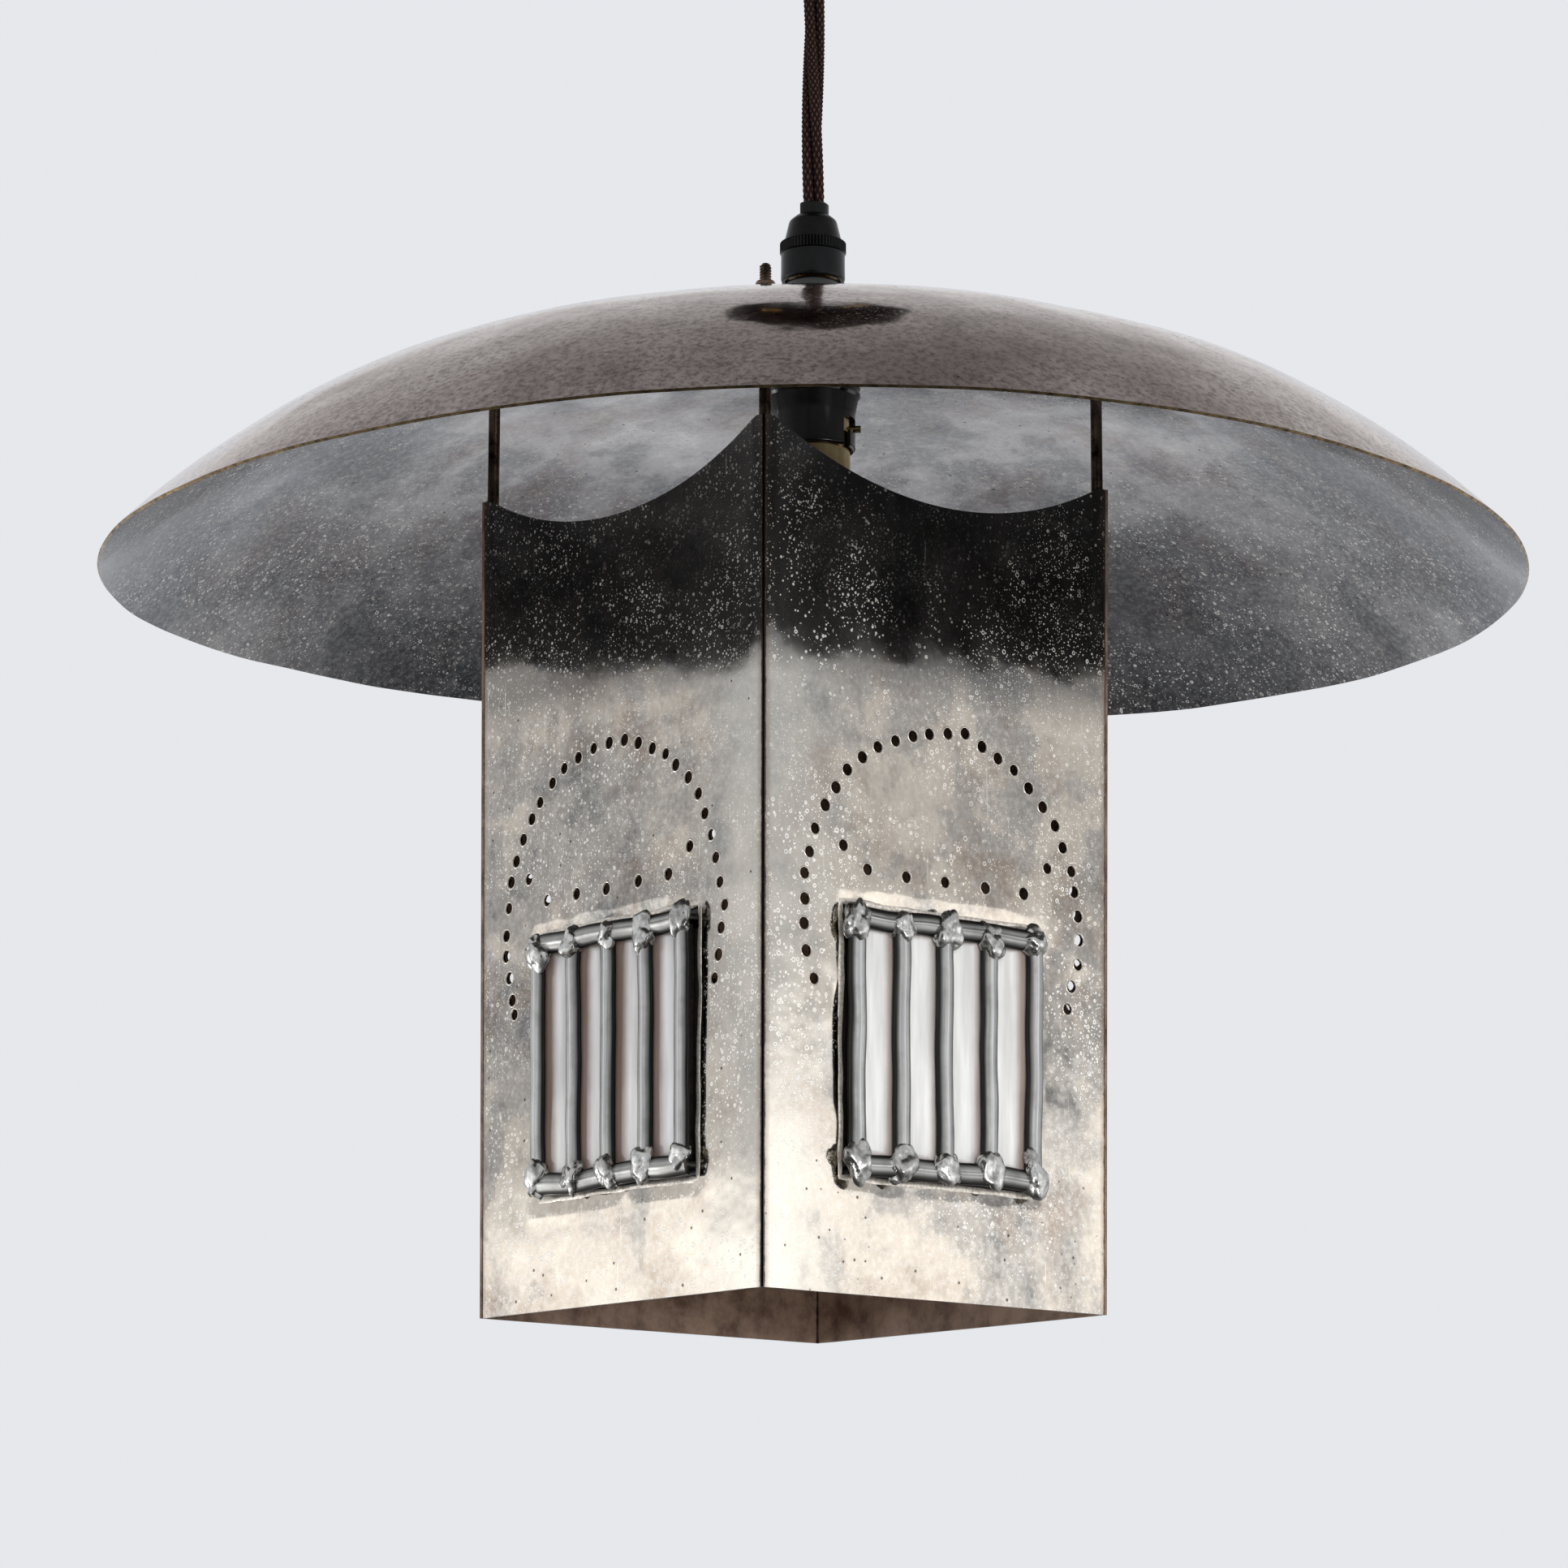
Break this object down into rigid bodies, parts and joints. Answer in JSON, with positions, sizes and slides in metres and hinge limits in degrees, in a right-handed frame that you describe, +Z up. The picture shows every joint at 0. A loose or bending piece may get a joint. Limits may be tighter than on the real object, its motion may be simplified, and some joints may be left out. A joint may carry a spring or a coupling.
{
  "type": "hanging lantern",
  "caption": "Pendant lantern: wide domed metal shade over a square open body with a punched arch and leaded glass windows, on a braided flex from a ceiling rose.",
  "frame": {"origin": "centre of the ceiling rose's flat back, where it meets the ceiling", "axes": "+Z up into the ceiling, -Y square to the front face of the body, +X to the right of that face"},
  "size_m": [0.414, 0.414, 0.4443],
  "materials": {
    "silvered_shade": "tarnished silver plate, mottled",
    "silvered_panel": "tarnished silver plate, scratched and spotted",
    "lead_came": "dull grey lead with fine lines",
    "solder": "rough bright solder",
    "opal_glass": "opal, glossy",
    "plated_steel": "dull plated rod",
    "bakelite": "black, polished",
    "holder_brass": "aged brass",
    "contact_brass": "bright brass",
    "lamp_brass": "dull coppery brass",
    "spring_steel": "bright",
    "flex_braid": "braided cotton over rubber",
    "core_sheath": "rubber-insulated core",
    "lamp_glass": "clear glass",
    "insulator_glass": "dark glass",
    "lamp_wire": "fine wire",
    "rose_bakelite": "dark brown, polished",
    "rose_insulator": "porcelain"
  },
  "bodies": {
    "rose": {"rose_cover": "rose_bakelite", "rose_backplate": "rose_bakelite", "rose_terminal_block": "rose_insulator", "rose_terminal_screws": "contact_brass", "rose_cover_screws": "contact_brass", "rose_flex_end": "flex_braid"},
    "flex": {"flex_cord": "flex_braid"},
    "cord_grip": {"grip_cup": "bakelite", "grip_insert": "holder_brass", "grip_cone": "bakelite", "grip_jaw": "bakelite", "grip_flex_end": "flex_braid"},
    "lantern": {"contact_block": "rose_insulator", "terminal_screws": "contact_brass", "lampholder_cap": "bakelite", "lampholder_barrel": "bakelite", "shade_ring": "bakelite", "entry_nipple": "holder_brass", "holder_cores": "core_sheath", "plunger_springs": "spring_steel", "shade": "silvered_shade", "panel_front": "silvered_panel", "panel_right": "silvered_panel", "panel_back": "silvered_panel", "panel_left": "silvered_panel", "came_uprights_front": "lead_came", "came_uprights_right": "lead_came", "came_uprights_back": "lead_came", "came_uprights_left": "lead_came", "came_rails_front": "lead_came", "came_rails_right": "lead_came", "came_rails_back": "lead_came", "came_rails_left": "lead_came", "glass_strips_front": "opal_glass", "glass_strips_right": "opal_glass", "glass_strips_back": "opal_glass", "glass_strips_left": "opal_glass", "solder_joints_front": "solder", "solder_joints_right": "solder", "solder_joints_back": "solder", "solder_joints_left": "solder", "corner_seams": "solder", "corner_rod_front_left": "plated_steel", "corner_rod_front_right": "plated_steel", "corner_rod_back_right": "plated_steel", "corner_rod_back_left": "plated_steel", "rod_nuts_upper": "plated_steel", "rod_nuts_lower": "plated_steel"},
    "plungers": {"contact_plungers": "contact_brass"},
    "lamp": {"lamp_cap": "lamp_brass", "lamp_insulator": "insulator_glass", "lamp_contacts": "solder", "lamp_pins": "lamp_brass", "lamp_glass": "lamp_glass", "lamp_stem": "lamp_glass", "lamp_filament": "lamp_wire", "filament_supports": "lamp_wire"}
  },
  "joints": [
    {"name": "flex_swing", "type": "hinge", "parent": "rose", "child": "flex", "pos_m": [0, 0, -0.03], "axis": [1, 0, 0], "range_deg": [-25, 25]},
    {"name": "lantern_sway", "type": "hinge", "parent": "flex", "child": "cord_grip", "pos_m": [0, 0, -0.1148], "axis": [0, 1, 0], "range_deg": [-25, 25]},
    {"name": "lantern_turn", "type": "hinge", "parent": "cord_grip", "child": "lantern", "pos_m": [0, 0, -0.135], "axis": [0, 0, 1], "range_deg": [-90, 90]},
    {"name": "lamp_push", "type": "slide", "parent": "lantern", "child": "plungers", "axis": [0, 0, 1], "range_m": [0, 0.0015], "stiffness_N_per_m": 2000, "springref_m": -0.004, "deforming": ["plunger_springs"]},
    {"name": "lamp_twist", "type": "hinge", "parent": "plungers", "child": "lamp", "pos_m": [0, 0, -0.18], "axis": [0, 0, 1], "range_deg": [-30, 0]}
  ]
}
